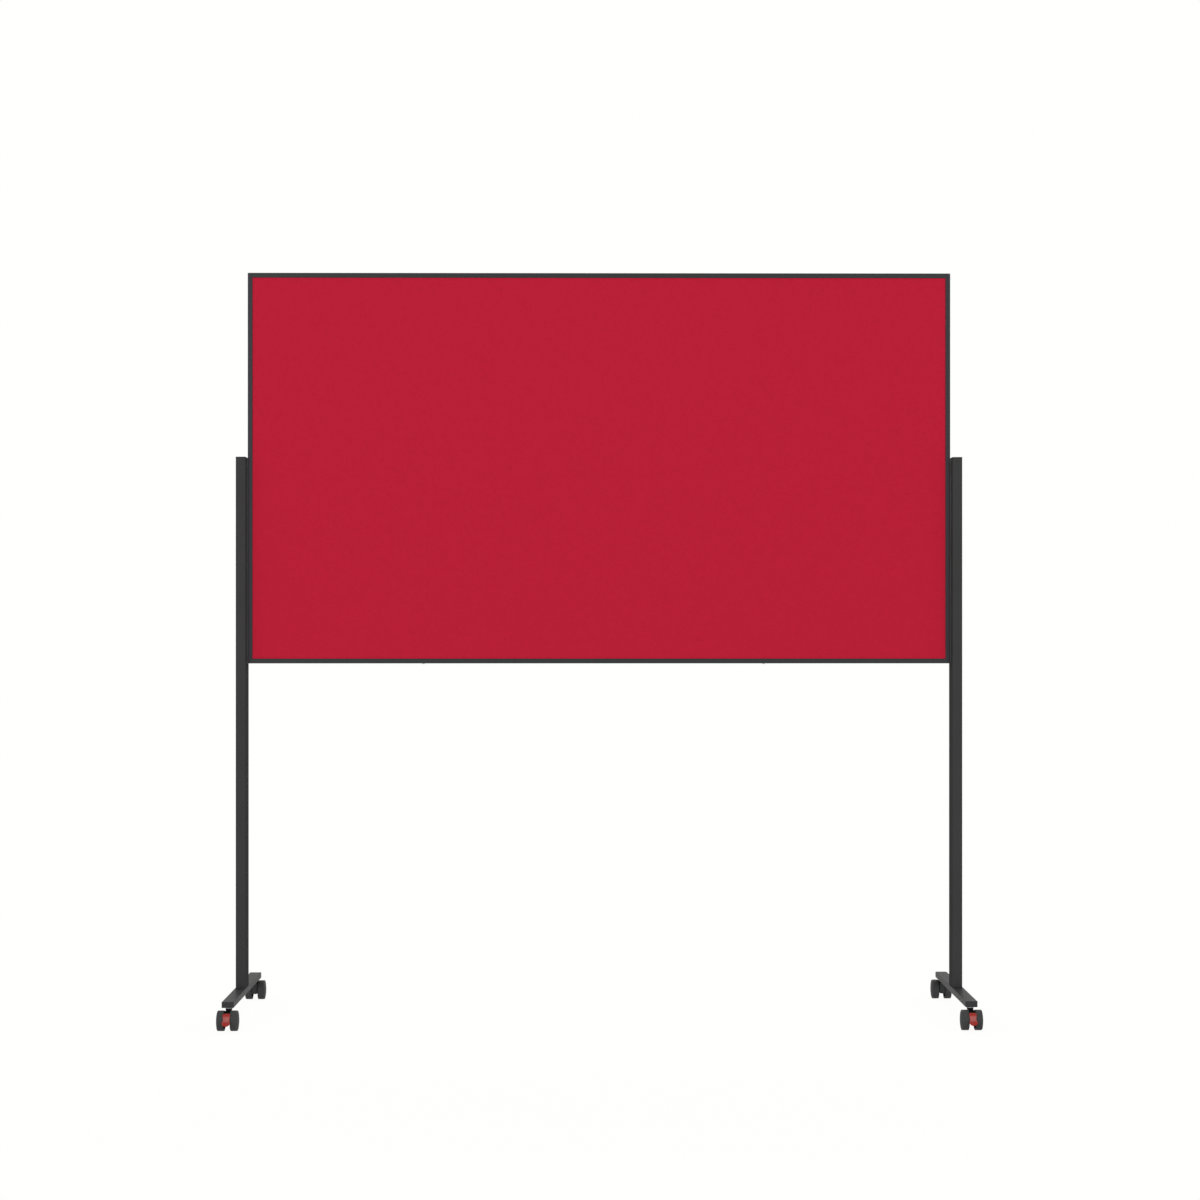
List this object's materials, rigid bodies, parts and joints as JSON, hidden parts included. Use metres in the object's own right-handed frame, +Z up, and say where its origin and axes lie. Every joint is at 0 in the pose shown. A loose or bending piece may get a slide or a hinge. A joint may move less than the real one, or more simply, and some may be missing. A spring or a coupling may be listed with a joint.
{
  "type": "mobile pinboard",
  "caption": "Free-standing felt pinboard in a slim metal frame, held between tubular posts on flat feet with braked swivel casters.",
  "frame": {"origin": "on the floor, under the middle of the board", "axes": "+Z up, +X along the board's width to the right seen from the front, -Y out of the board's front"},
  "size_m": [1.8882, 0.5716, 1.9],
  "materials": {
    "powder_coat": "fine-textured graphite powder coat on steel tube",
    "anodised_frame": "satin graphite anodised extrusion",
    "red_felt": "dense needled wool felt, crimson",
    "fibreboard": "raw soft fibreboard",
    "zinc_steel": "bright zinc plated steel",
    "black_screws": "black zinc plated steel",
    "cap_plastic": "moulded graphite plastic",
    "caster_nylon": "moulded black nylon",
    "wheel_nylon": "moulded dark grey wheel with a satin tread",
    "pedal_red": "glossy moulded red plastic"
  },
  "bodies": {
    "stand": {"board_core": "fibreboard", "felt_front": "red_felt", "felt_back": "red_felt", "rail_top": "anodised_frame", "rail_bottom": "anodised_frame", "rail_left": "anodised_frame", "rail_right": "anodised_frame", "corner_key_bottom_left": "zinc_steel", "corner_key_bottom_right": "zinc_steel", "corner_key_top_left": "zinc_steel", "corner_key_top_right": "zinc_steel", "slot_bar_left": "zinc_steel", "slot_bar_right": "zinc_steel", "spacer_left": "cap_plastic", "spacer_right": "cap_plastic", "post_left": "powder_coat", "post_right": "powder_coat", "post_cap_left": "cap_plastic", "post_cap_right": "cap_plastic", "board_screw_left_lower": "black_screws", "board_screw_left_upper": "black_screws", "board_screw_right_lower": "black_screws", "board_screw_right_upper": "black_screws", "rail_screw_left": "zinc_steel", "rail_screw_right": "zinc_steel", "spigot_left": "zinc_steel", "spigot_right": "zinc_steel", "spigot_screw_left": "black_screws", "spigot_screw_right": "black_screws", "foot_left": "powder_coat", "foot_right": "powder_coat", "foot_plug_front_left": "cap_plastic", "foot_plug_front_right": "cap_plastic", "foot_plug_rear_left": "cap_plastic", "foot_plug_rear_right": "cap_plastic", "caster_stem_front_left": "zinc_steel", "caster_stem_front_right": "zinc_steel", "caster_stem_rear_left": "zinc_steel", "caster_stem_rear_right": "zinc_steel"},
    "caster_front_left": {"caster_body_front_left": "caster_nylon", "caster_axle_front_left": "zinc_steel"},
    "caster_front_right": {"caster_body_front_right": "caster_nylon", "caster_axle_front_right": "zinc_steel"},
    "caster_rear_left": {"caster_body_rear_left": "caster_nylon", "caster_axle_rear_left": "zinc_steel"},
    "caster_rear_right": {"caster_body_rear_right": "caster_nylon", "caster_axle_rear_right": "zinc_steel"},
    "outer_wheel_front_left": {"wheel_front_left_outer": "wheel_nylon"},
    "inner_wheel_front_left": {"wheel_front_left_inner": "wheel_nylon"},
    "outer_wheel_front_right": {"wheel_front_right_outer": "wheel_nylon"},
    "inner_wheel_front_right": {"wheel_front_right_inner": "wheel_nylon"},
    "outer_wheel_rear_left": {"wheel_rear_left_outer": "wheel_nylon"},
    "inner_wheel_rear_left": {"wheel_rear_left_inner": "wheel_nylon"},
    "outer_wheel_rear_right": {"wheel_rear_right_outer": "wheel_nylon"},
    "inner_wheel_rear_right": {"wheel_rear_right_inner": "wheel_nylon"},
    "pedal_front_left": {"brake_pedal_front_left": "pedal_red"},
    "pedal_front_right": {"brake_pedal_front_right": "pedal_red"},
    "pedal_rear_left": {"brake_pedal_rear_left": "pedal_red"},
    "pedal_rear_right": {"brake_pedal_rear_right": "pedal_red"}
  },
  "joints": [
    {"name": "swivel_front_left", "type": "hinge", "parent": "stand", "child": "caster_front_left", "pos_m": [-0.9157, -0.229, 0.05], "axis": [0, 0, 1], "continuous": true},
    {"name": "swivel_front_right", "type": "hinge", "parent": "stand", "child": "caster_front_right", "pos_m": [0.9157, -0.229, 0.05], "axis": [0, 0, 1], "continuous": true},
    {"name": "swivel_rear_left", "type": "hinge", "parent": "stand", "child": "caster_rear_left", "pos_m": [-0.9157, 0.229, 0.05], "axis": [0, 0, 1], "continuous": true},
    {"name": "swivel_rear_right", "type": "hinge", "parent": "stand", "child": "caster_rear_right", "pos_m": [0.9157, 0.229, 0.05], "axis": [0, 0, 1], "continuous": true},
    {"name": "spin_front_left_outer", "type": "hinge", "parent": "caster_front_left", "child": "outer_wheel_front_left", "pos_m": [-0.9157, -0.249, 0.025], "axis": [1, 0, 0], "continuous": true},
    {"name": "spin_front_left_inner", "type": "hinge", "parent": "caster_front_left", "child": "inner_wheel_front_left", "pos_m": [-0.9157, -0.249, 0.025], "axis": [1, 0, 0], "continuous": true},
    {"name": "spin_front_right_outer", "type": "hinge", "parent": "caster_front_right", "child": "outer_wheel_front_right", "pos_m": [0.9157, -0.249, 0.025], "axis": [1, 0, 0], "continuous": true},
    {"name": "spin_front_right_inner", "type": "hinge", "parent": "caster_front_right", "child": "inner_wheel_front_right", "pos_m": [0.9157, -0.249, 0.025], "axis": [1, 0, 0], "continuous": true},
    {"name": "spin_rear_left_outer", "type": "hinge", "parent": "caster_rear_left", "child": "outer_wheel_rear_left", "pos_m": [-0.9157, 0.249, 0.025], "axis": [1, 0, 0], "continuous": true},
    {"name": "spin_rear_left_inner", "type": "hinge", "parent": "caster_rear_left", "child": "inner_wheel_rear_left", "pos_m": [-0.9157, 0.249, 0.025], "axis": [1, 0, 0], "continuous": true},
    {"name": "spin_rear_right_outer", "type": "hinge", "parent": "caster_rear_right", "child": "outer_wheel_rear_right", "pos_m": [0.9157, 0.249, 0.025], "axis": [1, 0, 0], "continuous": true},
    {"name": "spin_rear_right_inner", "type": "hinge", "parent": "caster_rear_right", "child": "inner_wheel_rear_right", "pos_m": [0.9157, 0.249, 0.025], "axis": [1, 0, 0], "continuous": true},
    {"name": "brake_front_left", "type": "hinge", "parent": "caster_front_left", "child": "pedal_front_left", "pos_m": [-0.9157, -0.261, 0.03998], "axis": [-1, 0, 0], "range_deg": [0, 18]},
    {"name": "brake_front_right", "type": "hinge", "parent": "caster_front_right", "child": "pedal_front_right", "pos_m": [0.9157, -0.261, 0.03998], "axis": [-1, 0, 0], "range_deg": [0, 18]},
    {"name": "brake_rear_left", "type": "hinge", "parent": "caster_rear_left", "child": "pedal_rear_left", "pos_m": [-0.9157, 0.261, 0.03998], "axis": [1, 0, 0], "range_deg": [0, 18]},
    {"name": "brake_rear_right", "type": "hinge", "parent": "caster_rear_right", "child": "pedal_rear_right", "pos_m": [0.9157, 0.261, 0.03998], "axis": [1, 0, 0], "range_deg": [0, 18]}
  ]
}
